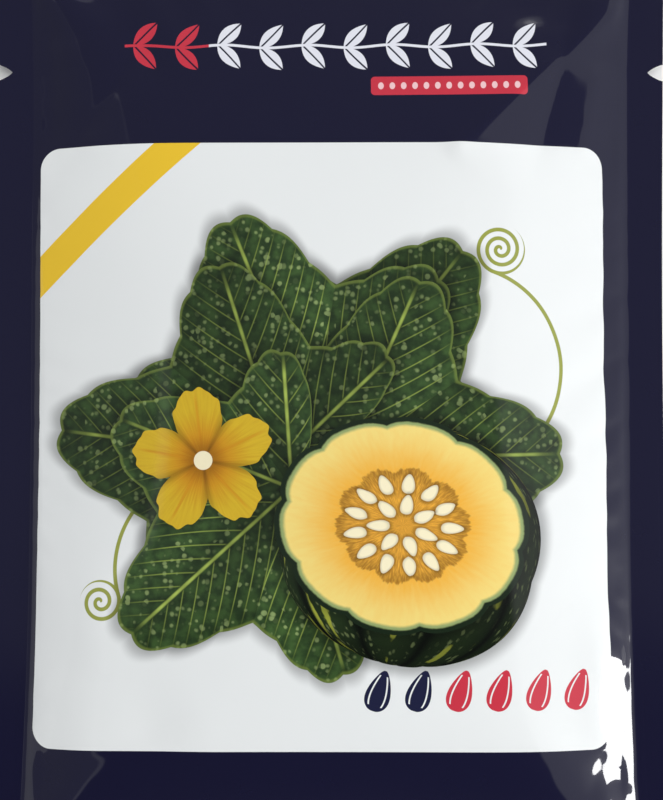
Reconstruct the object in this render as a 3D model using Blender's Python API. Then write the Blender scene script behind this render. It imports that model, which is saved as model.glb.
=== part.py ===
"""A sealed seed packet lying on its back: two printed foil films sealed round their edges, with squash seeds inside.

The packet's width runs along X, its height along Y with the top edge at +Y, and its front faces +Z. The origin is on
the surface that it lies on, below the middle of the packet. All lengths are in metres.
"""

import math
import random

import bmesh
import bpy
import numpy as np

# Driving dimensions of the packet
PACKET_WIDTH = 0.150
PACKET_HEIGHT = 0.215
FILM_THICKNESS = 0.00012
TOUCH_GAP = 0.0003

# Heat seals round the four edges, and how high the seal plane is held above the surface at the packet's two ends
SIDE_SEAL = 0.0085
TOP_SEAL = 0.012
BOTTOM_SEAL = 0.010
SEAL_Z_AT_BOTTOM = 0.0065
SEAL_Z_AT_TOP = 0.0040

# The filled pocket: how far its front rises above the seals, and where along Y it is fullest
FRONT_RISE = 0.0122
FULLEST_Y = -0.022
SIDE_PULL = 0.0018
END_PULL = 0.0012

# The margin over which the back curves up from its resting face, a little less than two grid cells, so that grid
# points lie exactly on that face's corners
BACK_FLAT_MARGIN = 0.0127

# Tear notches, one cut into each side edge
NOTCH_Y = 0.0735
NOTCH_DEPTH = 0.0034
NOTCH_HALF_WIDTH = 0.0019
NOTCH_FLARE = 1.3
NOTCH_POINT = 0.8
NOTCH_ROWS = (-1.0, -0.9, -0.6, -0.3, 0.0, 0.3, 0.6, 0.9, 1.0)

# The films' grid lines
POCKET_COLUMNS = 20
POCKET_ROWS = 30
END_ROWS = 2

# Squash seeds, and how they lie in layers in the lower part of the pocket
SEED_LENGTH = 0.0160
SEED_WIDTH = 0.0098
SEED_THICKNESS = 0.0027
SEED_FACE_SHARE = 0.62
SEED_TAPER = 0.30
SEED_OUTLINE_POINTS = 10
SEED_SIZE_SPREAD = 0.05
SEED_SPACING = 0.0005
SEEDS_PER_LAYER = (32, 24)
SEED_BED_HALF_WIDTH = 0.050
SEED_BED_Y = (-0.078, 0.040)
FILM_CLEARANCE = 0.0008
PLACING_SEED = 7

NAVY = (0.018, 0.018, 0.045, 1.0)
SEED_CREAM = (0.78, 0.66, 0.44, 1.0)


def pocket_x():
    """Half the width of the pocket between the side seals."""
    return PACKET_WIDTH / 2 - SIDE_SEAL


def pocket_ends():
    """The pocket's lowest and highest Y, at the inner lines of the end seals."""
    return -PACKET_HEIGHT / 2 + BOTTOM_SEAL, PACKET_HEIGHT / 2 - TOP_SEAL


def fullness_across(x):
    """1 on the packet's middle line, falling as a parabola to 0 at the side seals."""
    return np.clip(1 - (x / pocket_x()) ** 2, 0, 1)


def fullness_along(y):
    """1 at the fullest height, falling as two half parabolas to 0 at the end seals."""
    low, high = pocket_ends()
    reach = np.where(y < FULLEST_Y, FULLEST_Y - low, high - FULLEST_Y)
    return np.clip(1 - ((y - FULLEST_Y) / reach) ** 2, 0, 1)


def notch_depth(y):
    """How far a side edge is cut in at height y: a rounded flare that closes to a point."""
    t = np.clip(np.abs(y - NOTCH_Y) / NOTCH_HALF_WIDTH, 0, 1)
    return NOTCH_DEPTH * (1 - t**NOTCH_FLARE) ** NOTCH_POINT


def seal_z(y):
    """The seal plane's height, which falls evenly from the full bottom end to the slack top end."""
    share = y / PACKET_HEIGHT + 0.5
    return SEAL_Z_AT_BOTTOM + (SEAL_Z_AT_TOP - SEAL_Z_AT_BOTTOM) * share


def front_z(x, y):
    """The outer face of the front film: the seal plane, with the filled pocket's parabolic rise."""
    top_of_seal = seal_z(y) + TOUCH_GAP / 2 + FILM_THICKNESS
    return top_of_seal + FRONT_RISE * fullness_across(x) * fullness_along(y)


def back_z(x, y):
    """The outer face of the back film: flat on the surface, curving up to the seal plane over a margin."""
    low, high = pocket_ends()
    from_seal = np.minimum(pocket_x() - np.abs(x), np.minimum(y - low, high - y))
    t = np.clip(from_seal / BACK_FLAT_MARGIN, 0, 1)
    bottom_of_seal = seal_z(y) - TOUCH_GAP / 2 - FILM_THICKNESS
    return bottom_of_seal * (1 - t) ** 2


def grid_lines():
    """The flat film's grid lines: X columns over the seals and the pocket, Y rows with extra ones at the notch."""
    half_width, half_height = PACKET_WIDTH / 2, PACKET_HEIGHT / 2
    across = np.linspace(-pocket_x(), pocket_x(), POCKET_COLUMNS + 1)
    columns = np.concatenate([[-half_width], across, [half_width]])
    low, high = pocket_ends()
    along = np.linspace(low, high, POCKET_ROWS + 1)
    notch = NOTCH_Y + NOTCH_HALF_WIDTH * np.array(NOTCH_ROWS)
    clear_of_notch = np.abs(along - NOTCH_Y) > 1.6 * NOTCH_HALF_WIDTH
    bottom = np.linspace(-half_height, low, END_ROWS, endpoint=False)
    top = np.linspace(high, half_height, END_ROWS + 1)[1:]
    rows = np.sort(np.concatenate([bottom, along[clear_of_notch], notch, top]))
    return columns, rows


def film_plan():
    """Where the flat film's grid points lie in plan once the pocket is filled, which draws the edges in a little."""
    columns, rows = grid_lines()
    x, y = np.meshgrid(columns, rows)
    drawn_in_x = x * (1 - SIDE_PULL / (PACKET_WIDTH / 2) * fullness_along(y))
    drawn_in_y = y * (1 - END_PULL / (PACKET_HEIGHT / 2) * fullness_across(x))
    drawn_in_x[:, 0] += notch_depth(rows)
    drawn_in_x[:, -1] -= notch_depth(rows)
    return x, y, drawn_in_x, drawn_in_y


def closed_sheet(name, x, y, lower, upper, material):
    """A closed solid between two grids of heights over the same plan: two skins and a rim that joins their edges."""
    mesh = bmesh.new()
    n_rows, n_columns = x.shape
    skins = [
        [[mesh.verts.new((x[r, c], y[r, c], z[r, c])) for c in range(n_columns)] for r in range(n_rows)]
        for z in (lower, upper)
    ]
    low, high = skins
    for r in range(n_rows - 1):
        for c in range(n_columns - 1):
            mesh.faces.new((high[r][c], high[r][c + 1], high[r + 1][c + 1], high[r + 1][c]))
            mesh.faces.new((low[r][c], low[r + 1][c], low[r + 1][c + 1], low[r][c + 1]))
    last_row, last_column = n_rows - 1, n_columns - 1
    ring = [(0, c) for c in range(last_column)]
    ring += [(r, last_column) for r in range(last_row)]
    ring += [(last_row, c) for c in range(last_column, 0, -1)]
    ring += [(r, 0) for r in range(last_row, 0, -1)]
    for (r0, c0), (r1, c1) in zip(ring, ring[1:] + ring[:1]):
        mesh.faces.new((low[r0][c0], low[r1][c1], high[r1][c1], high[r0][c0]))
    return finished_object(name, mesh, material)


def finished_object(name, mesh, material):
    """A linked object from a bmesh, shaded smooth with its rims sharp."""
    data = bpy.data.meshes.new(name)
    mesh.to_mesh(data)
    mesh.free()
    data.shade_smooth()
    data.set_sharp_from_angle(angle=math.radians(50))
    data.materials.append(material)
    made = bpy.data.objects.new(name, data)
    bpy.context.collection.objects.link(made)
    return made


def surface_material(name, colour, roughness, metallic=0.0):
    """A plain Principled material."""
    material = bpy.data.materials.new(name)
    material.use_nodes = True
    shader = material.node_tree.nodes["Principled BSDF"]
    shader.inputs["Base Color"].default_value = colour
    shader.inputs["Roughness"].default_value = roughness
    shader.inputs["Metallic"].default_value = metallic
    return material


def front_film(material):
    """The front film, from the seals over the filled pocket."""
    flat_x, flat_y, x, y = film_plan()
    outer = front_z(flat_x, flat_y)
    return closed_sheet("front_film", x, y, outer - FILM_THICKNESS, outer, material)


def back_film(material):
    """The back film, flat where the packet lies on it."""
    flat_x, flat_y, x, y = film_plan()
    outer = back_z(flat_x, flat_y)
    return closed_sheet("back_film", x, y, outer, outer + FILM_THICKNESS, material)


def seed_outline(length, width):
    """The rim of a squash seed in plan: an oval that narrows towards its pointed end at +X."""
    turns = np.linspace(0, 2 * math.pi, SEED_OUTLINE_POINTS, endpoint=False)
    x = length / 2 * np.cos(turns)
    y = width / 2 * np.sin(turns) * (1 - SEED_TAPER * np.cos(turns))
    return x, y


def seed_mesh(length, width, thickness):
    """A flat seed: a sharp rim at mid thickness and a smaller flat face on each side."""
    mesh = bmesh.new()
    x, y = seed_outline(length, width)
    rings = []
    for share, z in ((SEED_FACE_SHARE, -thickness / 2), (1.0, 0.0), (SEED_FACE_SHARE, thickness / 2)):
        rings.append([mesh.verts.new((a * share, b * share, z)) for a, b in zip(x, y)])
    for lower, upper in zip(rings, rings[1:]):
        for i in range(SEED_OUTLINE_POINTS):
            j = (i + 1) % SEED_OUTLINE_POINTS
            mesh.faces.new((lower[i], lower[j], upper[j], upper[i]))
    mesh.faces.new(rings[0][::-1])
    mesh.faces.new(rings[-1])
    return mesh


def capsule_gap(a, b):
    """The gap between two seeds in plan, each taken as a capsule round its long axis, by points along the axes."""
    steps = np.linspace(-1, 1, 7)
    line_a, line_b = (
        np.array([s["x"], s["y"]]) + np.outer(steps * s["reach"], [math.cos(s["turn"]), math.sin(s["turn"])])
        for s in (a, b)
    )
    between = np.linalg.norm(line_a[:, None] - line_b[None], axis=2).min()
    return between - a["radius"] - b["radius"]


def fits_in_pocket(seed, bottom, top):
    """True where both films stay clear of a seed that lies between the heights bottom and top."""
    turns = np.linspace(0, 2 * math.pi, 8, endpoint=False)
    x = seed["x"] + seed["length"] / 2 * np.cos(turns)
    y = seed["y"] + seed["length"] / 2 * np.sin(turns)
    room_above = front_z(x, y) - FILM_THICKNESS - top
    room_below = bottom - back_z(x, y) - FILM_THICKNESS
    return room_above.min() > FILM_CLEARANCE and room_below.min() > TOUCH_GAP / 2


def placed_seeds():
    """Seeds thrown at random into layers, each kept where it clears its layer's seeds and both films."""
    dice = random.Random(PLACING_SEED)
    tallest = SEED_THICKNESS * (1 + SEED_SIZE_SPREAD)
    placed = []
    for layer, count in enumerate(SEEDS_PER_LAYER):
        middle = FILM_THICKNESS + TOUCH_GAP + tallest / 2 + layer * (tallest + TOUCH_GAP)
        in_layer = []
        while len(in_layer) < count:
            size = 1 + dice.uniform(-SEED_SIZE_SPREAD, SEED_SIZE_SPREAD)
            length, width = SEED_LENGTH * size, SEED_WIDTH * size
            seed = {
                "x": dice.uniform(-SEED_BED_HALF_WIDTH, SEED_BED_HALF_WIDTH),
                "y": dice.uniform(*SEED_BED_Y),
                "z": middle,
                "turn": dice.uniform(0, 2 * math.pi),
                "length": length,
                "width": width,
                "thickness": SEED_THICKNESS * size,
                "radius": width / 2 + SEED_SPACING,
                "reach": (length - width) / 2,
            }
            clear = all(capsule_gap(seed, other) > 0 for other in in_layer)
            if clear and fits_in_pocket(seed, middle - tallest / 2, middle + tallest / 2):
                in_layer.append(seed)
        placed += in_layer
    return placed


def seeds(material):
    """Every seed as its own object, lying flat and turned about Z."""
    for number, seed in enumerate(placed_seeds(), start=1):
        mesh = seed_mesh(seed["length"], seed["width"], seed["thickness"])
        made = finished_object(f"seed_{number:02d}", mesh, material)
        made.location = (seed["x"], seed["y"], seed["z"])
        made.rotation_euler = (0, 0, seed["turn"])


def main():
    for old in list(bpy.data.objects):
        bpy.data.objects.remove(old)
    film = surface_material("navy_film", NAVY, 0.25)
    shell = surface_material("seed_shell", SEED_CREAM, 0.6)
    front_film(film)
    back_film(film)
    seeds(shell)


main()
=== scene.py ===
"""A sealed seed packet lying on its back: two printed foil films relaxed over the squash seeds inside.

The packet's width runs along X, its height along Y with the top edge at +Y, and its front faces +Z. Lengths
are in metres, except on the flat film, where creases and print are laid out in millimetres from its middle.
"""

import math

import bpy
import numpy as np
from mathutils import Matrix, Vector


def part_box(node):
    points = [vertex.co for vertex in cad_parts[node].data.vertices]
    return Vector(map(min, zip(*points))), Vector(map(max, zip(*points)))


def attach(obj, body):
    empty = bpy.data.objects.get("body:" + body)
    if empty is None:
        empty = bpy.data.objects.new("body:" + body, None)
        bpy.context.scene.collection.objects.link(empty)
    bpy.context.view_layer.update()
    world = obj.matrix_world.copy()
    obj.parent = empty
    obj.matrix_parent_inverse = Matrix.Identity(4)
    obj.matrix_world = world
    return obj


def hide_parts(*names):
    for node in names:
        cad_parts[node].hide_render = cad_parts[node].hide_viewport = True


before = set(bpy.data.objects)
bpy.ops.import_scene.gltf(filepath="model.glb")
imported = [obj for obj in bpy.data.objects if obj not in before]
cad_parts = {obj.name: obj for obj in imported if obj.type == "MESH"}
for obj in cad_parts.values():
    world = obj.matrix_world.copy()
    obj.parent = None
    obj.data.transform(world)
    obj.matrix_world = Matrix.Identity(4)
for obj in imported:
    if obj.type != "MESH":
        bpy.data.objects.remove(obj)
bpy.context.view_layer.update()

# The flat films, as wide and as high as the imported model
LOWEST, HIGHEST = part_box("front_film")
FILM_WIDTH = HIGHEST.x - LOWEST.x
FILM_HEIGHT = HIGHEST.y - LOWEST.y
FILM_THICKNESS = 0.00012
WELD_GAP = 0.00003
TO_MM = 1000

# Heat seals round the four edges, how high the seal plane is held above the surface at the packet's two ends,
# and how far it waves, with the wave's radians per metre along X and Y and its start
SIDE_SEAL = 0.0085
TOP_SEAL = 0.012
BOTTOM_SEAL = 0.010
SEAL_Z_AT_BOTTOM = 0.0065
SEAL_Z_AT_TOP = 0.0040
SEAL_WAVE = 0.0004
SEAL_WAVE_TURN = (38, 55, 0.6)

# Tear notches, one cut into each side edge
NOTCH_Y = 0.0735
NOTCH_DEPTH = 0.0034
NOTCH_HALF_WIDTH = 0.0019
NOTCH_FLARE = 1.3
NOTCH_POINT = 0.8
NOTCH_ROWS = 18

# The relaxation: what the pocket holds, where along Y it is slack and where full, and the grids from coarse
# to fine, each with its columns, rows and steps
POCKET_VOLUME = 290e-6
SLACK_Y = 0.105
FULL_Y = -0.045
GRIDS = ((22, 31, 700), (44, 62, 560), (88, 124, 70), (176, 248, 20))
RELAX_SEED = 3

# How the films start: how far each lies from the seal plane, and how far points are shaken, in cells, on
# grids with fewer columns than this
START_PARTED = 0.003
START_SHAKE = 0.02
SHAKEN_BELOW = 50

# One step: its length, the speed it keeps, how the filling's swelling follows the volume, the push and weight
# on a slack film and what a full pocket adds to them, and how stiff the films and how firm the seal plane are
STEP_LENGTH = 0.05
SPEED_KEPT = 0.9
SWELLING_GAIN = 0.004
SWELLING_LIMIT = 0.35
SLACK_PUSH, FULL_PUSH = 0.03, 1.2
SLACK_WEIGHT, FULL_WEIGHT = 0.001, 0.003
SEAL_STIFFNESS = 0.9
BEND_STIFFNESS = 0.5
SHEAR_STIFFNESS = 0.35
SEAL_HOLD = 0.8
FRONT_WEIGHT, BACK_WEIGHT = 0.15, 1.0

# Creases from handling, on the flat film in millimetres: both ends, height along the outward normal, and
# reach. Their crests are rounded.
CREASES = (
    ((56.2, 55.5), (59.4, 72.6), 0.72, 4.1),
    ((45.6, 52.0), (54.0, 86.1), -1.1, 8.3),
    ((27.4, 54.2), (72.3, 94.8), 1.1, 3.5),
    ((-59.1, 52.0), (-43.0, 76.4), -0.97, 10.0),
    ((-63.2, -83.1), (-35.3, -70.3), -1.1, 9.5),
    ((53.4, -92.0), (64.4, -63.1), -0.6, 8.8),
)
CREST = 0.8

# Ripples that run out from the side seals, in millimetres: spacing, phase and height. Then their slant along
# X, how much further the left side's are along, and how far from the seal they rise and fade.
RIPPLES = ((45.46, -2.45, 0.142), (23.9, 3.681, 0.067), (10.69, 3.88, 0.054), (6.65, 1.114, 0.020))
RIPPLE_SLANT = -0.009
LEFT_PHASE = 2.3
RIPPLE_RISE = 3
RIPPLE_FADE = (22, 7)

# Soft swellings of the front film near its side seals, in millimetres: place, how high they stand, and their
# reach along X and Y
SWELLINGS = (
    ((58.9, -62.5), 0.77, (4.6, 17.0)),
    ((66.0, -75.0), -0.56, (3.1, 12.7)),
    ((-51.0, -46.0), 1.0, (9.0, 12.0)),
    ((-55.0, -65.0), 0.8, (12.0, 12.0)),
)

# Creases, ripples and swellings fade before the seals, in millimetres, and close to the floor, in metres
SEAL_FADE = 4
FLOOR_FADE = (0.0002, 0.0035)


# Small numpy helpers


def soft_step(low, high, value):
    """0 below low and 1 above high, with a smooth cubic between them. low may be the larger."""
    t = np.clip((value - low) / (high - low), 0, 1)
    return t * t * (3 - 2 * t)


def normals(points):
    """Upward normals of a grid of points, as long as one cell's area."""
    return np.cross(np.gradient(points, axis=1), np.gradient(points, axis=0))


def unit(vectors):
    """The vectors at length 1."""
    return vectors / np.linalg.norm(vectors, axis=-1, keepdims=True)


# The pouch, relaxed by moving its points


def draw_together(first, second, rest, stiffness):
    """Moves two arrays of points towards the distance rest from each other, each by half."""
    across = second - first
    length = np.sqrt(np.einsum("ijk,ijk->ij", across, across)) + 1e-12
    move = across * (0.5 * stiffness * (1 - rest / length))[..., None]
    first += move
    second -= move


def hold_spacing(film, axis, gap, rest, stiffness):
    """Keeps points that are gap apart along a grid axis at the distance rest.

    Pairs are taken in sets that share no point, so each set moves at once.
    """
    lines = np.moveaxis(film, axis, 0)
    stiffness = np.broadcast_to(stiffness, film.shape[:2])
    stiffness = np.moveaxis(stiffness, axis, 0)
    for start in range(2 * gap):
        first = lines[start:-gap:2 * gap]
        second = lines[start + gap::2 * gap]
        draw_together(first, second, rest, stiffness[start:-gap:2 * gap])


def hold_diagonals(film, rest, stiffness):
    """Keeps the two diagonals of every cell at the length rest, which resists shear."""
    for start in (0, 1):
        lower, upper = film[start:-1:2], film[start + 1::2]
        draw_together(lower[:, :-1], upper[:, 1:], rest, stiffness)
        draw_together(lower[:, 1:], upper[:, :-1], rest, stiffness)


def finer(points):
    """A grid with twice the cells: new points lie on cubic curves through the old ones."""
    for axis in (0, 1):
        lines = np.moveaxis(points, axis, 0)
        padded = np.concatenate([2 * lines[:1] - lines[1:2], lines, 2 * lines[-1:] - lines[-2:-1]])
        made = np.empty((2 * len(lines) - 1,) + lines.shape[1:])
        made[::2] = lines
        made[1::2] = (9 * (padded[1:-2] + padded[2:-1]) - padded[:-3] - padded[3:]) / 16
        points = np.moveaxis(made, 0, axis)
    return np.ascontiguousarray(points)


def hold_lengths(film, cell_x, cell_y, bend):
    """Puts the sides and diagonals of a film's cells right, and two cells' length as far as it is stiff."""
    hold_spacing(film, 1, 1, cell_x, 1.0)
    hold_spacing(film, 0, 1, cell_y, 1.0)
    hold_diagonals(film, math.hypot(cell_x, cell_y), SHEAR_STIFFNESS)
    hold_spacing(film, 1, 2, 2 * cell_x, bend)
    hold_spacing(film, 0, 2, 2 * cell_y, bend)


def relaxed_pouch():
    """The middle surfaces of the front and back films, as two grids of points over the same flat film.

    Both start as flat sheets. At each step the filling pushes them apart, more towards the bottom and where
    they lie low, their weight and the surface below flatten the back, and then every grid length is put right
    again, because a film bends but hardly stretches. The seals stay joined, near their plane.
    """
    dice = np.random.default_rng(RELAX_SEED)
    front = back = None
    swelling = 0.0
    for columns, rows, steps in GRIDS:
        x, y = np.meshgrid(
            np.linspace(-FILM_WIDTH / 2, FILM_WIDTH / 2, columns + 1),
            np.linspace(-FILM_HEIGHT / 2, FILM_HEIGHT / 2, rows + 1),
        )
        cell_x, cell_y = FILM_WIDTH / columns, FILM_HEIGHT / rows
        sealed = np.abs(x) > FILM_WIDTH / 2 - SIDE_SEAL - 1e-9
        sealed |= y > FILM_HEIGHT / 2 - TOP_SEAL - 1e-9
        sealed |= y < -FILM_HEIGHT / 2 + BOTTOM_SEAL + 1e-9
        seal_z = SEAL_Z_AT_BOTTOM + (SEAL_Z_AT_TOP - SEAL_Z_AT_BOTTOM) * (y / FILM_HEIGHT + 0.5)
        wave = np.sin(SEAL_WAVE_TURN[0] * x + SEAL_WAVE_TURN[1] * y + SEAL_WAVE_TURN[2])
        seal_z = seal_z + SEAL_WAVE * wave
        if front is None:
            parted = np.where(sealed, 0, START_PARTED)
            front = np.dstack([x, y, seal_z + parted])
            back = np.dstack([x, y, seal_z - parted])
        else:
            front, back = finer(front), finer(back)
        films = (front, back)
        if columns < SHAKEN_BELOW:
            for film in films:
                film += dice.normal(0, START_SHAKE * cell_x, film.shape) * ~sealed[..., None]
        speeds = [np.zeros_like(film) for film in films]
        bend = np.where(sealed, SEAL_STIFFNESS, BEND_STIFFNESS)
        share = soft_step(SLACK_Y, FULL_Y, y)
        weight = cell_x * (SLACK_WEIGHT + FULL_WEIGHT * share)[..., None] * np.array([0, 0, -1.0])
        for _ in range(steps):
            outward = (normals(front), -normals(back))
            volume = sum((out[..., 2] * film[..., 2]).sum() for out, film in zip(outward, films))
            swelling += SWELLING_GAIN * (1 - volume / POCKET_VOLUME)
            swelling = min(max(swelling, 0.0), SWELLING_LIMIT)
            top = front[..., 2].max()
            for number, film in enumerate(films):
                before = film.copy()
                lowness = 1.2 - 0.4 * film[..., 2] / top
                push = swelling * (SLACK_PUSH + FULL_PUSH * share) * lowness * ~sealed / cell_y
                film += SPEED_KEPT * speeds[number]
                force = push[..., None] * outward[number] + weight * (FRONT_WEIGHT, BACK_WEIGHT)[number]
                film += STEP_LENGTH * force
                speeds[number] = before
            for _ in range(2):
                for film in films:
                    hold_lengths(film, cell_x, cell_y, bend)
                joined = (front[sealed] + back[sealed]) / 2
                joined[:, 2] = seal_z[sealed] + SEAL_HOLD * (joined[:, 2] - seal_z[sealed])
                front[sealed] = back[sealed] = joined
                back[..., 2] = np.maximum(back[..., 2], 0)
                front[..., 2] = np.maximum(front[..., 2], back[..., 2])
            speeds = [film - before for film, before in zip(films, speeds)]
    for axis in (0, 1):
        middle = (front[..., axis].min() + front[..., axis].max()) / 2
        for film in films:
            film[..., axis] -= middle
    return front, back


def crease(x, y, start, end, tall, reach):
    """The height of a crease: a ridge that falls off exponentially on both sides and fades at its ends."""
    step = np.subtract(end, start)
    length = np.hypot(*step)
    along = ((x - start[0]) * step[0] + (y - start[1]) * step[1]) / length
    aside = ((y - start[1]) * step[0] - (x - start[0]) * step[1]) / length
    ends = soft_step(-reach, reach / 2, along) * soft_step(length + reach, length - reach / 2, along)
    return tall * ends * np.exp(-np.hypot(aside, CREST) / reach)


def handled(points, facing, creases, swellings):
    """A film with its side ripples, swellings and creases, raised along its outward normals."""
    rows, columns = points.shape[:2]
    x, y = np.meshgrid(
        np.linspace(-FILM_WIDTH / 2, FILM_WIDTH / 2, columns) * TO_MM,
        np.linspace(-FILM_HEIGHT / 2, FILM_HEIGHT / 2, rows) * TO_MM,
    )
    from_side = (FILM_WIDTH / 2 - SIDE_SEAL) * TO_MM - np.abs(x)
    from_top = (FILM_HEIGHT / 2 - TOP_SEAL) * TO_MM - y
    from_foot = y + (FILM_HEIGHT / 2 - BOTTOM_SEAL) * TO_MM
    wall = soft_step(0, RIPPLE_RISE, from_side) * soft_step(*RIPPLE_FADE, from_side)
    height = np.zeros_like(x)
    for spacing, phase, tall in RIPPLES:
        turn = 2 * math.pi * y / spacing + phase + RIPPLE_SLANT * x
        height += tall * wall * np.sin(turn + np.where(x > 0, 0, LEFT_PHASE))
    for place, tall, reach in swellings:
        height += tall * np.exp(-((x - place[0]) / reach[0]) ** 2 - ((y - place[1]) / reach[1]) ** 2)
    for line in creases:
        height += crease(x, y, *line)
    for distance in (from_side, from_top, from_foot):
        height *= soft_step(0, SEAL_FADE, distance)
    height *= soft_step(*FLOOR_FADE, points[..., 2])
    return points + facing * unit(normals(points)) * (height / TO_MM)[..., None]


def notch_depth(y):
    """How far a side edge is cut in at height y: a rounded flare that closes to a point."""
    t = np.clip(np.abs(y - NOTCH_Y) / NOTCH_HALF_WIDTH, 0, 1)
    return NOTCH_DEPTH * (1 - t**NOTCH_FLARE) ** NOTCH_POINT


def at_rows(points, rows):
    """A grid's points at fractional row numbers, on cubic curves through its rows."""
    base = np.clip(np.floor(rows).astype(int), 0, len(points) - 2)
    t = (rows - base)[:, None, None]
    last = len(points) - 1
    a, b, c, d = (points[np.clip(base + step, 0, last)] for step in (-1, 0, 1, 2))
    return b + 0.5 * t * (c - a + t * (2 * a - 5 * b + 4 * c - d + t * (3 * (b - c) + d - a)))


def at_columns(points, columns):
    """A grid's points at fractional column numbers, one for each point, on straight lines between columns."""
    base = np.clip(np.floor(columns).astype(int), 0, points.shape[1] - 2)
    row = np.arange(len(points))[:, None]
    t = (columns - base)[..., None]
    return points[row, base] * (1 - t) + points[row, base + 1] * t


def cut_grid(shape):
    """The fractional rows and columns of a film whose side edges follow the notches, and its flat places.

    Rows are added where the notches are. There the columns of the side seals are drawn in towards the pocket.
    """
    last_row, last_column = shape[0] - 1, shape[1] - 1
    notch_y = NOTCH_Y + NOTCH_HALF_WIDTH * np.linspace(-1, 1, NOTCH_ROWS + 1)
    notch_rows = (notch_y / FILM_HEIGHT + 0.5) * last_row
    plain_rows = np.arange(last_row + 1)
    clear = (plain_rows < notch_rows[0] - 0.2) | (plain_rows > notch_rows[-1] + 0.2)
    rows = np.sort(np.concatenate([plain_rows[clear], notch_rows]))
    flat_y = (rows / last_row - 0.5) * FILM_HEIGHT
    flat_x = (np.arange(last_column + 1) / last_column - 0.5) * FILM_WIDTH
    into_seal = np.clip(np.abs(flat_x) - (FILM_WIDTH / 2 - SIDE_SEAL), 0, None) / SIDE_SEAL
    flat_x = flat_x - np.sign(flat_x) * into_seal * notch_depth(flat_y)[:, None]
    columns = (flat_x / FILM_WIDTH + 0.5) * last_column
    return rows, columns, flat_x, np.broadcast_to(flat_y[:, None], flat_x.shape)


# Meshes

SHARP_ABOVE = math.radians(60)


def mesh_object(name, points, quads, material):
    """A linked object from arrays of points and four-cornered faces, shaded smooth except at sharp edges."""
    mesh = bpy.data.meshes.new(name)
    mesh.vertices.add(len(points))
    mesh.vertices.foreach_set("co", np.ascontiguousarray(points, np.float32).ravel())
    mesh.loops.add(quads.size)
    mesh.loops.foreach_set("vertex_index", quads.ravel().astype(np.int32))
    mesh.polygons.add(len(quads))
    mesh.polygons.foreach_set("loop_start", np.arange(0, quads.size, 4, dtype=np.int32))
    mesh.update(calc_edges=True)
    mesh.shade_smooth()
    mesh.set_sharp_from_angle(angle=SHARP_ABOVE)
    mesh.materials.append(material)
    made = bpy.data.objects.new(name, mesh)
    bpy.context.collection.objects.link(made)
    return made


def grid_quads(rows, columns):
    """The faces of a grid of points, turning anticlockwise as rows and columns grow."""
    index = np.arange(rows * columns).reshape(rows, columns)
    return np.stack([index[:-1, :-1], index[:-1, 1:], index[1:, 1:], index[1:, :-1]], -1).reshape(-1, 4)


def ring_indices(rows, columns):
    """The border points of a grid, anticlockwise."""
    index = np.arange(rows * columns).reshape(rows, columns)
    return np.concatenate([index[0, :-1], index[:-1, -1], index[-1, :0:-1], index[:0:-1, 0]])


def film_object(name, middle, facing, material):
    """A film with its real thickness: an outer and an inner skin beside its middle surface, and a rim.

    facing is 1 for the front film and -1 for the back one. The two films are WELD_GAP apart in the seals.
    Each point keeps its flat place in millimetres in the attribute "flat", whose third number is 1 on the
    inner skin.
    """
    rows, columns, flat_x, flat_y = cut_grid(middle.shape)
    points = at_columns(at_rows(middle, rows), columns)
    outward = facing * unit(normals(points))
    skins = [points + outward * (WELD_GAP / 2 + depth) for depth in (FILM_THICKNESS, 0)]
    count = flat_x.size
    quads = grid_quads(*flat_x.shape)
    ring = ring_indices(*flat_x.shape)
    after = np.roll(ring, -1)
    rim = np.stack([ring + count, after + count, after, ring], -1)
    if facing > 0:
        faces = np.concatenate([quads, quads[:, ::-1] + count, rim])
    else:
        faces = np.concatenate([quads[:, ::-1], quads + count, rim[:, ::-1]])
    made = mesh_object(name, np.concatenate([skin.reshape(-1, 3) for skin in skins]), faces, material)
    flat = np.stack([flat_x.ravel() * TO_MM, flat_y.ravel() * TO_MM, np.zeros(count)], -1)
    flat = np.concatenate([flat, flat + (0, 0, 1)])
    layer = made.data.attributes.new("flat", "FLOAT_VECTOR", "POINT")
    layer.data.foreach_set("vector", flat.astype(np.float32).ravel())
    return made


# Squash seeds: points round a ring and rings on a face, how far a seed narrows to its point, and where on a
# face the bead inside its rim lies and how wide it is, as shares of the way out

SEED_TURNS = 30
SEED_RINGS = 7
SEED_TAPER = 0.30
SEED_BEAD = 0.86
SEED_BEAD_WIDTH = 0.07


def seed_frame(node):
    """A packed seed's centre, its direction towards the pointed end, and its length, width and thickness."""
    co = np.array([v.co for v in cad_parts[node].data.vertices])
    low, high = co.min(0), co.max(0)
    plan = co[:, :2] - co[:, :2].mean(0)
    along = np.linalg.svd(plan, full_matrices=False)[2][0]
    across = np.array([-along[1], along[0]])
    if (plan @ along * np.abs(plan @ across)).sum() > 0:
        along, across = -along, -across
    length, width = np.ptp(co[:, :2] @ along), np.ptp(co[:, :2] @ across)
    middle = (co[:, :2] @ along).min() + length / 2, (co[:, :2] @ across).min() + width / 2
    centre = np.array([*(middle[0] * along + middle[1] * across), (low[2] + high[2]) / 2])
    return centre, along, across, length, width, high[2] - low[2]


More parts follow.
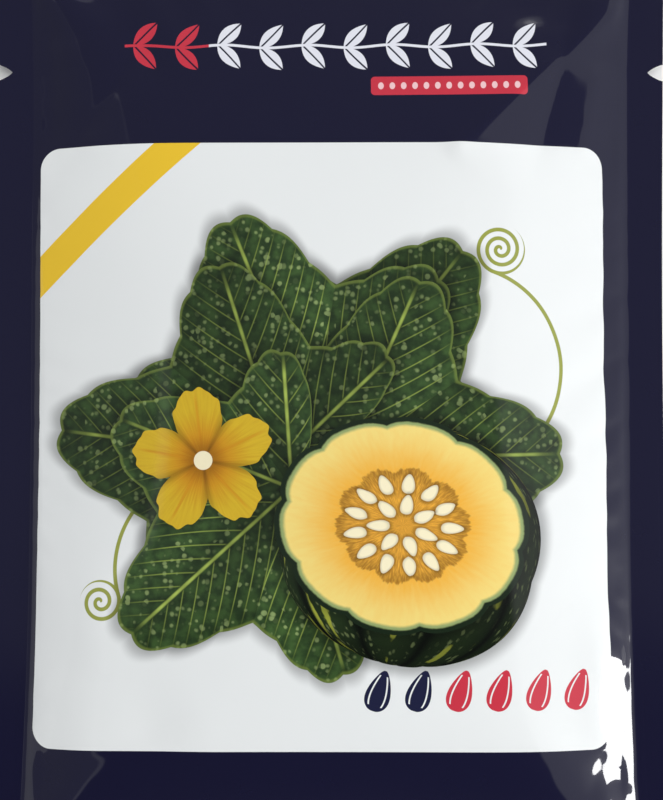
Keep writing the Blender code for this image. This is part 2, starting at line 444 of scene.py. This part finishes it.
def seed_object(node, material):
    """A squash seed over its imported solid: an oval that narrows to a point, with a bead inside its rim.

    Rings run from the middle of one face over the rim to the middle of the other. Towards the rim the
    thickness falls as a high power of the distance, after the bead.
    """
    centre, along, across, length, width, thickness = seed_frame(node)
    turn = np.linspace(0, 2 * math.pi, SEED_TURNS, endpoint=False)
    out = np.linspace(0.02, 1, SEED_RINGS) ** 0.7
    out = np.concatenate([out, out[-2::-1]])
    side = np.sign(np.arange(len(out)) - (SEED_RINGS - 1))
    bead = np.exp(-((out - SEED_BEAD) / SEED_BEAD_WIDTH) ** 2)
    body = (1 - out**8) ** 0.5 * (0.80 + 0.20 * bead - 0.10 * out**2)
    x = out[:, None] * length / 2 * np.cos(turn)
    y = out[:, None] * width / 2 * np.sin(turn) * (1 - SEED_TAPER * np.cos(turn))
    z = np.broadcast_to((side * body * thickness / 2)[:, None], x.shape)
    plan = x[..., None] * along + y[..., None] * across
    points = np.dstack([plan, z]) + centre
    rows = len(out)
    index = np.arange(rows * SEED_TURNS).reshape(rows, SEED_TURNS)
    after = np.roll(index, -1, axis=1)
    quads = np.stack([index[:-1], after[:-1], after[1:], index[1:]], -1).reshape(-1, 4)
    made = mesh_object(node + "_shell", points.reshape(-1, 3), quads, material)
    close_ends(made, index[0], index[-1][::-1])
    return made


def close_ends(made, *rings):
    """Fills the small holes at a mesh's ends, each given as its ring of points, with one face."""
    mesh = made.data
    first_loop = len(mesh.loops)
    first_face = len(mesh.polygons)
    turned = [ring[::-1] for ring in rings]
    mesh.loops.add(sum(len(ring) for ring in turned))
    mesh.polygons.add(len(turned))
    for number, ring in enumerate(turned):
        mesh.polygons[first_face + number].loop_start = first_loop
        for step, corner in enumerate(ring):
            mesh.loops[first_loop + step].vertex_index = int(corner)
        first_loop += len(ring)
    mesh.update(calc_edges=True)
    mesh.shade_smooth()


# Finishes


class Value:
    """A number, vector or colour that varies over a surface. Arithmetic on it adds Math nodes."""

    def __init__(self, finish, socket):
        self.finish, self.socket = finish, socket

    def maths(self, operation, *others):
        """The result of a Math node on this value and others."""
        inputs = dict(enumerate((self, *others)))
        return self.finish.node("Math", {"operation": operation}, inputs)

    def __add__(self, other):
        return self.maths("ADD", other)

    def __sub__(self, other):
        return self.maths("SUBTRACT", other)

    def __rsub__(self, other):
        return self.finish.node("Math", {"operation": "SUBTRACT"}, {0: other, 1: self})

    def __mul__(self, other):
        return self.maths("MULTIPLY", other)

    def __truediv__(self, other):
        return self.maths("DIVIDE", other)

    def __pow__(self, other):
        return self.maths("POWER", other)

    def __neg__(self):
        return self.maths("MULTIPLY", -1.0)

    def __abs__(self):
        return self.maths("ABSOLUTE")

    __radd__ = __add__
    __rmul__ = __mul__

    def sin(self):
        return self.maths("SINE")

    def cos(self):
        return self.maths("COSINE")

    def root(self):
        return self.maths("SQRT")

    def wrap(self, period):
        """The remainder in half a period either side of 0."""
        return self.maths("WRAP", period / 2, -period / 2)

    def angle(self, x):
        """The angle of the point (x, self) from the X axis."""
        return self.maths("ARCTAN2", x)

    def least(self, other):
        """The smaller of two values."""
        return self.maths("MINIMUM", other)

    def most(self, other):
        """The larger of two values."""
        return self.maths("MAXIMUM", other)

    def rise(self, low, high):
        """0 below low and 1 above high, with a smooth cubic between them."""
        inputs = {"Value": self, "From Min": low, "From Max": high}
        return self.finish.node("MapRange", {"interpolation_type": "SMOOTHSTEP"}, inputs)

    def fall(self, low, high):
        """1 below low and 0 above high."""
        return 1 - self.rise(low, high)


class Shading:
    """A node tree under construction."""

    def __init__(self, tree):
        self.tree = tree

    def node(self, kind, settings=(), inputs=(), output=0):
        """Adds a node with its settings, values and links, and returns one of its outputs."""
        made = self.tree.nodes.new("ShaderNode" + kind)
        for name, value in dict(settings).items():
            setattr(made, name, value)
        for key, value in dict(inputs).items():
            self.feed(made.inputs[key], value)
        return Value(self, made.outputs[output])

    def feed(self, socket, value):
        """Links a Value to an input, or sets the input to a plain number, vector or colour."""
        if isinstance(value, Value):
            self.tree.links.new(value.socket, socket)
        else:
            socket.default_value = value

    def parts(self, vector):
        """The three numbers of a vector."""
        split = self.node("SeparateXYZ", {}, {0: vector}).socket.node
        return [Value(self, socket) for socket in split.outputs]

    def mix(self, share, colour, over):
        """colour where share is 0, over where it is 1."""
        inputs = {0: share, 6: self.opaque(colour), 7: self.opaque(over)}
        return self.node("Mix", {"data_type": "RGBA"}, inputs, 2)

    def opaque(self, colour):
        """A plain colour with full alpha; a Value has it already."""
        return colour if isinstance(colour, Value) else (*colour, 1.0)

    def shaded(self, colour, light):
        """A colour made darker or lighter by a number."""
        scale = self.node("CombineColor", {}, {0: light, 1: light, 2: light})
        inputs = {0: 1.0, 6: self.opaque(colour), 7: scale}
        return self.node("Mix", {"data_type": "RGBA", "blend_type": "MULTIPLY"}, inputs, 2)

    def vector(self, x, y, z=0.0):
        """A vector of three numbers."""
        return self.node("CombineXYZ", {}, {0: x, 1: y, 2: z})

    def noise(self, place, scale, detail):
        """Soft noise round 0.5, with as many finer octaves as detail says."""
        return self.node("TexNoise", {}, {"Vector": place, "Scale": scale, "Detail": detail})

    def cells(self, place, scale):
        """The distance from the middle of the nearest of random cells, and that cell's random number."""
        made = self.node("TexVoronoi", {}, {"Vector": place, "Scale": scale})
        tint = made.socket.node.outputs["Color"]
        return made, self.node("SeparateColor", {}, {0: Value(self, tint)})

    def bump(self, height, distance):
        """Normals of a surface raised by height times distance."""
        return self.node("Bump", {}, {"Height": height, "Distance": distance, "Strength": 1.0})


class Finish(Shading):
    """A Principled material under construction."""

    def __init__(self, name, **fixed):
        self.material = bpy.data.materials.new(name)
        self.material.use_nodes = True
        super().__init__(self.material.node_tree)
        self.shader = self.tree.nodes["Principled BSDF"]
        self.set(**fixed)

    def set(self, **inputs):
        """Feeds the shader's inputs, named with underscores for spaces."""
        for key, value in inputs.items():
            self.feed(self.shader.inputs[key.replace("_", " ")], value)


# Colours, as linear red, green and blue

NAVY = (0.0056, 0.0054, 0.0255)
PANEL_WHITE = (0.785, 0.807, 0.806)
BAND_YELLOW = (0.80, 0.52, 0.030)
ORNAMENT_WHITE = (0.75, 0.76, 0.83)
ORNAMENT_RED = (0.55, 0.035, 0.060)
ORNAMENT_NAVY = (0.012, 0.014, 0.045)
FOIL = (0.80, 0.81, 0.82)
RIND_DARK = (0.0075, 0.0170, 0.0070)
RIND_MID = (0.030, 0.060, 0.018)
RIND_FLECK = (0.28, 0.36, 0.14)
RIND_STREAK = (0.50, 0.55, 0.070)
STALK_GREEN = (0.30, 0.33, 0.065)
FLESH_PALE = (0.85, 0.66, 0.20)
FLESH_DEEP = (0.83, 0.42, 0.045)
HOLLOW_DEEP = (0.52, 0.24, 0.025)
PRINTED_SEED = (0.88, 0.80, 0.55)
LEAF_DARK = (0.0105, 0.0230, 0.0075)
LEAF_MID = (0.025, 0.052, 0.014)
LEAF_FLECK = (0.26, 0.34, 0.13)
LEAF_VEIN = (0.26, 0.34, 0.065)
BLOSSOM_YELLOW = (0.84, 0.56, 0.030)
BLOSSOM_DEEP = (0.76, 0.30, 0.012)
SEED_CREAM = (0.80, 0.69, 0.46)
SEED_STAIN = (0.66, 0.50, 0.28)
FLOOR_WHITE = (0.93, 0.93, 0.92, 1.0)
DOME_WHITE = (0.97, 0.98, 1.0, 1.0)

# The print's layout on the flat film, in millimetres from the packet's middle

PANEL_CENTRE = (-2.05, -9.95)
PANEL_HALF = (63.05, 65.55)
PANEL_CORNER = 4.6
BAND_ANGLE = math.radians(42.1)
BAND_EDGES = (60.2, 67.1)

# Tendrils: the coil's centre, radius and turns, and the radius of the arc that leads to it
TENDRILS = (((37.0, 32.0), 5.2, 2.7, 22.0), ((-49.0, -44.0), 4.2, 2.05, 20.0))

# Leaves, from the lowest to the topmost: foot, length, heading in degrees, and how light the leaf is
LEAVES = (
    ((-2.0, -8.0), 50.0, 52, 0.80),
    ((-4.0, -6.0), 47.0, 112, 1.10),
    ((2.0, -14.0), 48.0, 2, 0.95),
    ((-10.0, -14.0), 50.0, 172, 0.78),
    ((-8.0, -20.0), 46.0, 222, 1.15),
)

# The blossom's centre, reach and lean
BLOSSOM = ((-27.0, -14.0), 15.5, 0.45)

# The cut squash: its rind, which stands behind, and the cut half
SQUASH_LEAN = math.radians(-12)
SQUASH_RIBS = 10
RIND_CENTRE = (17.5, -31.8)
RIND_HALF_WIDTH = 29.0
RIND_FLATNESS = 0.88
RIND_ELEVATION = math.radians(10)
RIND_GROOVES = 0.10
RIND_TURN = 0.1
HALF_CENTRE = (15.5, -27.8)
HALF_SIZE = (27.5, 23.0)

# The header's twig and bar, and the row of seed marks
TWIG_PITCH = 9.35
TWIG_ENDS = (-45.6, 47.9)
TWIG_Y = 78.6
TWIG_LEAF = (3.9, 1.75)
BAR_CENTRE = (26.2, 68.9)
BAR_HALF = (17.2, 2.2)
DOT_PITCH = 2.5
DOT_PINK = (0.85, 0.55, 0.57)
MARK_PITCH = 8.6
FIRST_MARK_X = 10.4
MARKS_Y = -62.5
MARK_HALF = (4.5, 2.5)
BACK_PANEL_HALF = (52.0, 60.0)
PRINT_EDGE = 0.11


def place_on_film(finish):
    """The flat film's x and y in millimetres at each point, and 1 on the inner skin."""
    return finish.parts(finish.node("Attribute", {"attribute_name": "flat"}, {}, "Vector"))


def inside(distance):
    """1 where a distance is negative, with an edge as soft as the print's."""
    return distance.fall(-PRINT_EDGE / 2, PRINT_EDGE / 2)


def box_distance(x, y, half, corner):
    """The distance outside a box with rounded corners round 0, negative within."""
    over_x, over_y = abs(x) - (half[0] - corner), abs(y) - (half[1] - corner)
    outside = (over_x.most(0) ** 2 + over_y.most(0) ** 2).root()
    return outside + over_x.most(over_y).least(0) - corner


def turned(x, y, centre, angle):
    """x and y seen from a centre, with the axes turned by an angle."""
    c, s = math.cos(angle), math.sin(angle)
    across, up = x - centre[0], y - centre[1]
    return across * c + up * s, up * c - across * s


def laid_over(finish, colour, distance, layer, reach=2.2, darkness=0.40):
    """A layer where its distance is negative, over a ground that is darker close to the layer's edge."""
    ground = finish.shaded(colour, 1 - distance.fall(0.0, reach) * darkness)
    return finish.mix(inside(distance), ground, layer)


def printed_leaf(finish, x, y, marble, mottle, foot, length, heading, tone):
    """A squash leaf with five lobes and a toothed edge. Returns its distance and colour.

    In polar coordinates round its foot, half a leaf is one curve of the angle from the midrib. Main veins run
    out every 64 degrees, and side veins leave them at an acute angle towards the tips.
    """
    along, aside = turned(x, y, foot, heading)
    out = (along**2 + aside**2).root().most(1e-3)
    turn = abs(aside.angle(along))
    spread = math.radians(64)
    lobes = 0.83 + 0.17 * (turn * (2 * math.pi / spread)).cos()
    notch = turn.fall(math.radians(132), math.radians(179))
    teeth = 1 + abs((turn * 17).sin()) * 0.030
    reach = (0.74 + 0.26 * (turn * 0.9).cos()) * lobes * teeth * (0.10 + 0.90 * notch)
    share = out / length / reach
    distance = (out - reach * length) * 0.72

    fold = turn.wrap(spread)
    vein_gap = abs(out * fold.sin())
    vein = vein_gap.fall(0.10, 0.55) * share.fall(0.80, 1.0)
    branch = (out * fold.cos() - vein_gap * (1.0 + 0.3 * share)) / 4.4
    side_vein = abs(branch.wrap(1.0)).fall(0.015, 0.075) * vein_gap.rise(0.2, 1.0) * share.fall(0.7, 1.05)
    colour = finish.mix(marble, LEAF_DARK, LEAF_MID)
    colour = finish.mix(mottle * vein_gap.rise(0.5, 2.0), colour, LEAF_FLECK)
    colour = finish.mix((side_vein * 0.50).most(vein), colour, LEAF_VEIN)
    quilt = 0.80 + 0.30 * abs(branch.wrap(1.0)).rise(0.0, 0.5) + 0.30 * vein_gap.rise(0.0, 7.0)
    sides = 1 - 0.44 * fold.sin() * aside.maths("SIGN")
    colour = finish.shaded(colour, quilt * sides * (0.55 + 0.60 * share.rise(0.0, 0.75)) * tone)
    return distance, finish.mix(distance.rise(-0.75, -0.25) * 0.35, colour, LEAF_VEIN)


def printed_blossom(finish, x, y, centre, reach, lean):
    """A squash blossom from the front, five petals round a throat. Returns its distance and colour."""
    across, up = turned(x, y, centre, lean)
    out = (across**2 + up**2).root().most(1e-3)
    turn = up.angle(across)
    fold = turn.wrap(2 * math.pi / 5)
    petal = (fold * 2.5).cos().most(0.0)
    ruffle = (turn * 23).sin() * 0.018 + (turn * 37 + 1.0).sin() * 0.010
    edge = 0.50 + 0.50 * petal**0.75 + ruffle
    share = out / reach
    fibres = finish.noise(finish.vector(turn * 8.0, share * 0.8), 3.0, 3.0)
    colour = finish.mix(share.rise(0.12, 0.80) + (fibres - 0.5) * 0.7, BLOSSOM_DEEP, BLOSSOM_YELLOW)
    midrib = abs(out * fold.sin()).fall(0.08, 0.50) * share.fall(0.75, 1.0)
    colour = finish.mix(midrib * 0.55, colour, BLOSSOM_DEEP)
    shade = (0.62 + 0.38 * petal.rise(0.0, 0.55)) * (0.55 + 0.45 * share.rise(0.08, 0.40))
    colour = finish.shaded(colour, shade * (1.02 + (fibres - 0.5) * 0.25))
    colour = finish.mix(inside(out - reach * 0.13), finish.shaded(colour, 0.72), PRINTED_SEED)
    return (out - edge * reach) * 0.72, colour


def printed_rind(finish, x, y):
    """A ribbed squash body drawn as a spheroid seen from above its side. Returns its distance and colour.

    x and y are scaled so that the outline is a circle. The ray through each point meets a unit sphere, whose
    longitude and latitude carry the ribs, flecks and streaks.
    """
    seen_height = math.hypot(math.sin(RIND_ELEVATION), RIND_FLATNESS * math.cos(RIND_ELEVATION))
    half_height = RIND_HALF_WIDTH * seen_height
    rise = math.atan2(math.tan(RIND_ELEVATION), RIND_FLATNESS)
    sin_rise, cos_rise = math.sin(rise), math.cos(rise)
    across, up = turned(x, y, RIND_CENTRE, SQUASH_LEAN)
    across, up = across / RIND_HALF_WIDTH, up / half_height
    out = (across**2 + up**2).root().most(1e-4)

    # The ribs pull the outline in at their grooves
    edge_turn = (up * sin_rise).angle(across)
    edge_groove = 1 - abs((edge_turn * (SQUASH_RIBS / 2) + RIND_TURN).sin())
    level = (across**2 + (up * sin_rise) ** 2) / out**2
    swell = 1 + edge_groove**2 * level * out**3 * RIND_GROOVES
    across, up, out = across * swell, up * swell, out * swell

    # The point on the unit sphere, its longitude and its latitude
    near = (1 - out.least(1) ** 2).root()
    north = up * sin_rise - near * cos_rise
    pole = up * cos_rise + near * sin_rise
    ring = (across**2 + north**2).root().most(0.02)
    turn = north.angle(across)
    rib = abs((turn * (SQUASH_RIBS / 2) + RIND_TURN).sin())
    latitude = pole.angle(ring)
    circle = finish.vector(across / ring, north / ring, latitude * 0.62)
    speck, chance = finish.cells(circle, 15.0)
    wander = finish.noise(circle, 30.0, 2.0)
    fleck = (speck + (wander - 0.5) * 0.6).fall(0.16, 0.40) * chance.rise(0.25, 0.6) * rib.rise(0.05, 0.35)
    long_circle = finish.vector(across / ring, north / ring, latitude * 0.24)
    streak = finish.noise(long_circle, 5.2, 1.5) + (wander - 0.5) * 0.06
    streak = streak.rise(0.60, 0.64) * rib.rise(0.25, 0.5)
    colour = finish.mix(rib * 0.8, RIND_DARK, RIND_MID)
    colour = finish.mix(fleck * 0.75, colour, RIND_FLECK)
    colour = finish.mix(streak, colour, RIND_STREAK)
    light = 0.25 + 0.95 * (pole * 0.5 - across * 0.45 - north * 0.55).most(0)
    shade = light * (0.42 + 0.58 * rib.rise(0.0, 0.42)) * (0.45 + 0.55 * near.rise(0.0, 0.45))
    return (out - 1) * half_height, finish.shaded(colour, shade * 1.25)


def printed_half(finish, x, y):
    """A squash cut in half, face on, with a hollow full of seeds. Returns its distance and colour."""
    across, up = turned(x, y, HALF_CENTRE, SQUASH_LEAN)
    across, up = across / HALF_SIZE[0], up / HALF_SIZE[1]
    out = (across**2 + up**2).root().most(1e-4)
    turn = up.angle(across)
    groove = 1 - abs((turn * (SQUASH_RIBS / 2)).sin())
    out = out * (1 + groove**2 * 0.05)
    fibres = finish.noise(finish.vector(turn * 5.0, out * 1.6), 4.0, 3.0)
    grain = finish.noise(finish.vector(across, up), 26.0, 3.0)
    edge = out + (grain - 0.5) * 0.012
    colour = finish.mix(edge.rise(0.45, 0.93) + (fibres - 0.5) * 0.5, FLESH_DEEP, FLESH_PALE)
    colour = finish.mix(edge.rise(0.905, 0.940), colour, RIND_FLECK)
    colour = finish.mix(edge.rise(0.945, 0.965), colour, RIND_DARK)
    hollow_edge = 0.53 - groove * 0.035 + (fibres - 0.5) * 0.08
    hollow = (out - hollow_edge).fall(-0.012, 0.012)
    strings = finish.noise(finish.vector(turn * 7.0, out * 3.0), 5.0, 4.0)
    colour = finish.mix(hollow, colour, finish.mix(strings.rise(0.35, 0.7), HOLLOW_DEEP, FLESH_DEEP))
    colour = finish.shaded(colour, 1 - hollow * (out - hollow_edge).rise(-0.16, 0.0) * 0.35)
    for count, ring, spread in ((13, 0.385, 0.3), (7, 0.195, 1.1)):
        cell = (turn + spread).wrap(2 * math.pi / count)
        along, aside = out * cell.cos() - ring, out * cell.sin()
        seed = ((along / 0.094) ** 2 + (aside / (0.052 - along * 0.16)) ** 2).root()
        colour = finish.shaded(colour, 1 - (seed.fall(0.95, 1.40) - seed.fall(0.90, 1.0)) * 0.5)
        body = finish.shaded(PRINTED_SEED, seed.fall(0.55, 1.0) * 0.28 + 0.74)
        colour = finish.mix(seed.fall(0.92, 1.0), colour, body)
    return (out - 1) * HALF_SIZE[1], colour


def printed_tendril(x, y, centre, coil, turns, sweep):
    """A tendril: a flat coil and the arc that leads to it. Returns its distance and colour.

    The coil is an Archimedean spiral. From its outer end the arc, of radius sweep, bends the other way.
    """
    across, up = x - centre[0], y - centre[1]
    out = (across**2 + up**2).root()
    gap = coil / turns
    phase = (out / gap - up.angle(across) / (2 * math.pi)).wrap(1.0)
    end = (turns % 1.0) * 2 * math.pi
    to_coil = (abs(phase) * gap).most(out - coil)
    beside = across * -math.sin(end) + up * math.cos(end)
    beyond = across * math.cos(end) + up * math.sin(end) - (coil + sweep)
    to_arc = abs((beside**2 + beyond**2).root() - sweep).most(-beside)
    return to_coil.least(to_arc) - 0.42, STALK_GREEN


def picture(finish, x, y, colour):
    """A plain garden picture: squash leaves and tendrils, a blossom, and a squash cut in half before them."""
    for tendril in TENDRILS:
        colour = laid_over(finish, colour, *printed_tendril(x, y, *tendril), darkness=0.0)
    marble = finish.noise(finish.vector(x, y), 0.33, 4.0)
    speck, chance = finish.cells(finish.vector(x, y), 0.75)
    mottle = (speck + (marble - 0.5) * 1.2).fall(0.18, 0.50) * chance.rise(0.45, 0.7) * 0.40
    marble = marble.rise(0.35, 0.68)
    for foot, length, heading, tone in LEAVES:
        heading = math.radians(heading)
        leaf = printed_leaf(finish, x, y, marble, mottle, foot, length, heading, tone)
        colour = laid_over(finish, colour, *leaf, reach=2.8, darkness=0.45)
    colour = laid_over(finish, colour, *printed_blossom(finish, x, y, *BLOSSOM))
    colour = laid_over(finish, colour, *printed_rind(finish, x, y), reach=3.5, darkness=0.5)
    return laid_over(finish, colour, *printed_half(finish, x, y))


def ornament(finish, x, y):
    """The header: a twig with paired leaves, red at its start and white after, over a dotted red bar.

    Returns the twig's mask and colour, and the bar's.
    """
    low, high = TWIG_ENDS
    along = (x - low - TWIG_PITCH / 2).wrap(TWIG_PITCH)
    up = y - TWIG_Y + (x * (2 * math.pi / TWIG_PITCH / 2)).sin() * 0.35
    leaves = None
    for side in (1, -1):
        leaf_x, leaf_y = turned(along + 0.6, up * side, (0.4, 2.7), math.radians(48))
        width = (1 - (leaf_x / TWIG_LEAF[0]) ** 2).most(0) * TWIG_LEAF[1]
        leaf = inside(abs(leaf_y) - width) * abs(leaf_y).rise(0.10, 0.28)
        leaves = leaf if leaves is None else leaves.most(leaf)
    twig = inside(abs(up) - 0.32)
    mask = leaves.most(twig) * inside(abs(x - (low + high) / 2) - (high - low) / 2)
    red_end = low + TWIG_PITCH * 2
    colour = finish.mix(x.fall(red_end - 0.1, red_end + 0.1), ORNAMENT_WHITE, ORNAMENT_RED)
    bar_x, bar_y = x - BAR_CENTRE[0], y - BAR_CENTRE[1]
    bar = inside(box_distance(bar_x, bar_y, BAR_HALF, 0.9))
    dot_x = bar_x.wrap(DOT_PITCH)
    dots = inside((dot_x**2 + (bar_y * 0.75) ** 2).root() - 0.62) * inside(abs(bar_x) - 16.2)
    return mask, colour, bar, finish.mix(dots, ORNAMENT_RED, DOT_PINK)


def seed_marks(finish, x, y):
    """A row of seed shapes at the panel's foot, two navy and four red. Returns their mask and colour."""
    along, up = (x - FIRST_MARK_X).wrap(MARK_PITCH), y - MARKS_Y
    shape_x, shape_y = turned(along, up, (0.0, 0.0), math.radians(72))
    width = (1 - (shape_x / MARK_HALF[0]) ** 2).most(0).root() * (1 - shape_x * 0.09) * MARK_HALF[1]
    mask = inside(abs(shape_y) - width) * inside(abs(shape_x) - MARK_HALF[0] + 0.05)
    slit = inside(abs(abs(shape_y) - width * 0.62) - 0.16) * inside(abs(shape_x) - 3.3)
    mask = mask * (1 - slit) * inside(abs(x - FIRST_MARK_X - MARK_PITCH * 2.5) - MARK_PITCH * 3)
    navy_end = FIRST_MARK_X + MARK_PITCH * 1.5
    return mask, finish.mix(x.rise(navy_end - 0.1, navy_end + 0.1), ORNAMENT_NAVY, ORNAMENT_RED)


# The laminate's fixed values, and the two lines that the sealing bars leave along the side edges, in
# millimetres from the edge
LAMINATE = {"Specular_IOR_Level": 0.06, "Coat_Weight": 1.0, "Coat_Roughness": 0.035, "Coat_IOR": 1.5}
OUTER_LINE = 1.1
INNER_LINE = 5.4


def film_surface(finish, x, y, inner, printed):
    """The laminate's waves and wipes over its print, pale foil inside, and lines beside the edges."""
    foil = inner.rise(0.45, 0.55)
    finish.set(Base_Color=finish.mix(foil, printed, FOIL), Metallic=foil * 0.9)
    from_side = FILM_WIDTH * TO_MM / 2 - abs(x)
    outer_line = abs(from_side - OUTER_LINE).fall(0.0, 0.30)
    inner_line = abs(from_side - INNER_LINE).fall(0.0, 0.35) * y.fall(-70.0, -30.0) * 0.6
    waves = finish.noise(finish.vector(x, y), 0.055, 2.0)
    peel = finish.noise(finish.vector(x, y), 1.1, 2.0)
    height = waves * 3.0 + peel * 0.05 - (outer_line + inner_line) * 0.5
    finish.set(Normal=finish.bump(height, 0.00005))
    wipe = finish.noise(finish.vector(x, y), 0.09, 3.0)
    finish.set(Roughness=0.24 + wipe * 0.10 + foil * 0.1)


def front_finish():
    """The printed front: navy, and a white panel with a garden picture and a yellow corner band."""
    finish = Finish("printed_front", **LAMINATE)
    x, y, inner = place_on_film(finish)
    panel = inside(box_distance(x - PANEL_CENTRE[0], y - PANEL_CENTRE[1], PANEL_HALF, PANEL_CORNER))
    slant = y * math.cos(BAND_ANGLE) - x * math.sin(BAND_ANGLE)
    band = inside(BAND_EDGES[0] - slant) * inside(slant - BAND_EDGES[1])
    colour = finish.mix(band, PANEL_WHITE, BAND_YELLOW)
    colour = picture(finish, x, y, colour)
    marks, mark_colour = seed_marks(finish, x, y)
    colour = finish.mix(marks, colour, mark_colour)
    colour = finish.mix(panel, NAVY, colour)
    twig, twig_colour, bar, bar_colour = ornament(finish, x, y)
    colour = finish.mix(bar, finish.mix(twig, colour, twig_colour), bar_colour)
    film_surface(finish, x, y, inner, colour)
    return finish.material


def back_finish():
    """The back: the same navy film with a bare white panel."""
    finish = Finish("back_of_packet", **LAMINATE)
    x, y, inner = place_on_film(finish)
    panel = inside(box_distance(x, y - PANEL_CENTRE[1], BACK_PANEL_HALF, PANEL_CORNER))
    film_surface(finish, x, y, inner, finish.mix(panel, NAVY, PANEL_WHITE))
    return finish.material


def seed_finish():
    """Dry cream seed shell with a fine fibrous grain and faint stains."""
    finish = Finish("seed_shell", Specular_IOR_Level=0.35)
    place = finish.node("TexCoord", {}, {}, "Object")
    stain = finish.noise(place, 260.0, 3.0)
    grain = finish.noise(place, 2400.0, 3.0)
    colour = finish.mix(stain.rise(0.35, 0.75), SEED_CREAM, SEED_STAIN)
    finish.set(Base_Color=finish.shaded(colour, 0.85 + grain * 0.3), Roughness=0.55 + grain * 0.2)
    finish.set(Normal=finish.bump(grain, 0.00006))
    return finish.material


def floor_finish():
    """A matt, nearly white floor."""
    return Finish("pale_floor", Specular_IOR_Level=0.2, Base_Color=FLOOR_WHITE, Roughness=0.7).material


# The stage: floor, camera and lights

CAMERA_PLACE = (0.0003, -0.0272, 0.374)
CAMERA_TARGET = (0.0003, -0.0002, 0.006)
VERTICAL_VIEW = math.radians(26.8)
FLOOR_SIZE = 3.0

# The lights: name, place, width and height, power, whether gloss mirrors them, and whether they light the
# rest. The window's mirror image and its light are set apart, so that each has a strength of its own.
LIGHTS = (
    ("window", (0.981, -0.265, 0.360), (0.20, 0.66), 9.4, True, False),
    ("window_light", (0.967, -0.352, 0.395), (0.55, 0.75), 5.6, False, True),
    ("far_window", (0.45, 0.85, 0.55), (0.60, 0.40), 1.5, True, True),
    ("overhead", (0.12, 0.05, 1.10), (0.60, 0.60), 5.1, False, True),
)
LIGHT_TARGET = (0, 0, 0.01)

# The dome, as rectangles of the view's slopes x / z and y / z: their limits, and the glow on and round them.
# The ceiling's near part is darker, as under whoever takes the picture, and its left edge catches some light.
CEILING = ((-0.50, 0.50), (-1.10, 1.10))
LEFT_WALL = ((-1.40, -0.50), (-1.10, 0.60))
CEILING_RIM = ((-0.55, -0.50), (-1.10, 0.20))
RECTANGLE_EDGE = 0.02
WALL_GLOW = 0.75
LEFT_WALL_GLOW = 0.27
RIM_GLOW = 0.60
NEAR_CEILING_GLOW = 0.08
FAR_CEILING_GLOW = 0.22


def aim(item, place, target):
    """Puts a camera or light at a place, looking at a target with +Y up in the picture."""
    item.location = place
    item.rotation_euler = (Vector(target) - Vector(place)).to_track_quat("-Z", "Y").to_euler()


def camera():
    """The camera that sees the packet as the photograph does."""
    data = bpy.data.cameras.new("camera")
    data.sensor_fit = "AUTO"
    data.lens = data.sensor_width / 2 / math.tan(VERTICAL_VIEW / 2)
    data.clip_start = 0.01
    made = bpy.data.objects.new("camera", data)
    bpy.context.collection.objects.link(made)
    aim(made, CAMERA_PLACE, CAMERA_TARGET)
    bpy.context.scene.camera = made


def softbox(name, place, size, power, mirrored, lighting):
    """A rectangular soft light aimed at the packet."""
    data = bpy.data.lights.new(name, "AREA")
    data.shape = "RECTANGLE"
    data.size, data.size_y = size
    data.energy = power
    made = bpy.data.objects.new(name, data)
    made.visible_glossy = mirrored
    made.visible_diffuse = lighting
    bpy.context.collection.objects.link(made)
    aim(made, place, LIGHT_TARGET)


def floor():
    """The surface under the packet."""
    points = np.array([(-1, -1, 0), (1, -1, 0), (1, 1, 0), (-1, 1, 0)]) * (FLOOR_SIZE / 2)
    made = mesh_object("floor", points, np.array([[0, 1, 2, 3]]), floor_finish())


def within(x, y, limits):
    """1 inside a rectangle, 0 outside, with soft edges."""
    inside_both = None
    for value, (low, high) in zip((x, y), limits):
        part = value.rise(low - RECTANGLE_EDGE, low + RECTANGLE_EDGE)
        part = part * value.fall(high - RECTANGLE_EDGE, high + RECTANGLE_EDGE)
        inside_both = part if inside_both is None else inside_both * part
    return inside_both


def dome():
    """A studio dome: pale walls round a dark ceiling, a dimmer wall on the left."""
    made = bpy.data.worlds.new("studio_dome")
    made.use_nodes = True
    shading = Shading(made.node_tree)
    x, y, z = shading.parts(shading.node("TexCoord", {}, {}, "Generated"))
    across, up = x / z.most(0.02), y / z.most(0.02)
    glow = within(across, up, LEFT_WALL) * (LEFT_WALL_GLOW - WALL_GLOW) + WALL_GLOW
    glow = glow + within(across, up, CEILING_RIM) * (RIM_GLOW - LEFT_WALL_GLOW)
    ceiling = up.rise(-0.16, -0.02) * (FAR_CEILING_GLOW - NEAR_CEILING_GLOW) + NEAR_CEILING_GLOW
    overhead = within(across, up, CEILING)
    background = shading.tree.nodes["Background"]
    shading.feed(background.inputs["Strength"], glow * (1 - overhead) + ceiling * overhead)
    background.inputs["Color"].default_value = DOME_WHITE
    bpy.context.scene.world = made


def build_packet():
    """The two films and the seeds between them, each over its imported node."""
    front_points, back_points = relaxed_pouch()
    lift = FILM_THICKNESS + WELD_GAP
    films = (
        ("front_film", "printed_front_film", front_points, 1, CREASES, SWELLINGS, front_finish()),
        ("back_film", "back_film", back_points, -1, (), (), back_finish()),
    )
    for node, slot, points, facing, creases, swellings, material in films:
        points = handled(points, facing, creases, swellings)
        made = film_object(node + "_skin", points + (0, 0, lift), facing, material)
        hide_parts(node)
        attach(made, "root")
    shell = seed_finish()
    for node in sorted(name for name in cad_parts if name.startswith("seed_")):
        made = seed_object(node, shell)
        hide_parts(node)
        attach(made, "root")


build_packet()
floor()
camera()
for light in LIGHTS:
    softbox(*light)
dome()
bpy.context.scene.view_settings.view_transform = "Standard"
